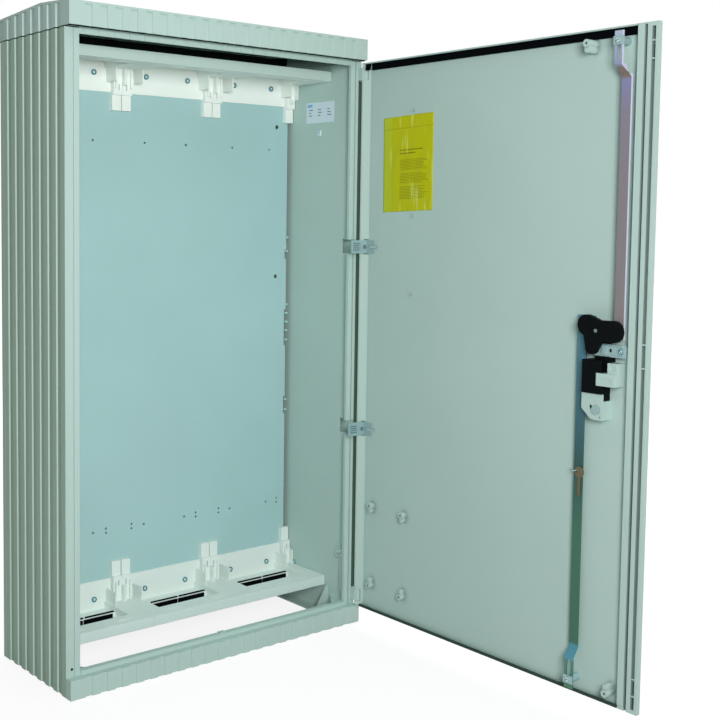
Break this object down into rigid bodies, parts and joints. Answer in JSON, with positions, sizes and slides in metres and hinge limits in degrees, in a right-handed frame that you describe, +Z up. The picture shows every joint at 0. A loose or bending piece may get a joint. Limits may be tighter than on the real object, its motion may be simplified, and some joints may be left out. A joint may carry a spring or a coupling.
{
  "type": "electrical distribution cabinet",
  "caption": "Free-standing outdoor distribution cabinet with ribbed plastic walls, open door, rod lock, steel mounting plate and white cable trays.",
  "frame": {"origin": "centre of the footprint on the ground", "axes": "+X to the right seen from the front, +Y to the rear, +Z up"},
  "size_m": [0.8178, 1.1005, 1.4],
  "materials": {
    "shell": "fine grained light grey moulding",
    "plate": "satin blue-grey sheet",
    "white_plastic": "satin white moulding",
    "zinc": "zinc plated",
    "black_plastic": "satin black",
    "seal": "foam seal",
    "pouch": "translucent yellow film",
    "rod_steel": "passivated sheet steel",
    "brass": "plain"
  },
  "bodies": {
    "cabinet": {"roof_cover": "shell", "left_side_wall": "shell", "right_side_wall": "shell", "rear_wall": "shell", "top_cross_rail": "shell", "front_sill": "shell", "mounting_plate": "plate", "plate_standoffs": "zinc", "plate_bolts": "zinc", "upper_tray_left": "white_plastic", "upper_tray_middle": "white_plastic", "upper_tray_right": "white_plastic", "lower_tray_left": "white_plastic", "lower_tray_middle": "white_plastic", "lower_tray_right": "white_plastic", "tray_screws": "zinc", "top_hinge_bracket": "shell", "bottom_hinge_bracket": "shell", "top_hinge_pin": "zinc", "bottom_hinge_pin": "zinc", "hinge_side_seal": "seal"},
    "door": {"door_panel": "shell", "door_top_seal": "seal", "door_bottom_seal": "seal", "upper_catch": "zinc", "lower_catch": "zinc", "catch_screws": "zinc", "lock_housing": "black_plastic", "lock_clamp": "white_plastic", "lock_cover": "white_plastic", "lock_cylinder": "zinc", "lock_strap": "zinc", "strap_clamp": "zinc", "strap_screw": "zinc", "upper_rod_guide": "zinc", "lower_rod_guide": "zinc", "guide_screws": "zinc", "document_pouch": "pouch", "handle_plate": "black_plastic"},
    "plug": {"cylinder_plug": "brass"},
    "crank": {"crank": "black_plastic", "spindle": "zinc", "handle_hub": "black_plastic", "lever_pin": "zinc"},
    "lever": {"handle_lever": "black_plastic"},
    "upper_rod": {"upper_rod": "rod_steel"},
    "lower_rod": {"lower_rod": "rod_steel", "key": "brass", "key_ring": "zinc"}
  },
  "joints": [
    {"name": "door_swing", "type": "hinge", "parent": "cabinet", "child": "door", "pos_m": [0.393, -0.155, 0.69], "axis": [0, 0, 1], "range_deg": [-90, 30]},
    {"name": "crank_turn", "type": "hinge", "parent": "door", "child": "crank", "pos_m": [0.365, -0.839, 0.766], "axis": [-1, 0, 0], "range_deg": [0, 45]},
    {"name": "handle_swing", "type": "hinge", "parent": "crank", "child": "lever", "pos_m": [0.4153, -0.839, 0.766], "axis": [0, -1, 0], "range_deg": [0, 60]},
    {"name": "upper_rod_slide", "type": "slide", "parent": "door", "child": "upper_rod", "axis": [0, 0, 1], "range_m": [0, 0.0255]},
    {"name": "lower_rod_slide", "type": "slide", "parent": "door", "child": "lower_rod", "axis": [0, 0, -1], "range_m": [0, 0.0214]},
    {"name": "plug_turn", "type": "hinge", "parent": "door", "child": "plug", "pos_m": [0.405, -0.841, 0.614], "axis": [1, 0, 0], "range_deg": [0, 90]}
  ],
  "couplings": [
    {"joint": "upper_rod_slide", "follows": "crank_turn", "m_per_rad": 0.03241},
    {"joint": "lower_rod_slide", "follows": "crank_turn", "m_per_rad": 0.0272}
  ]
}
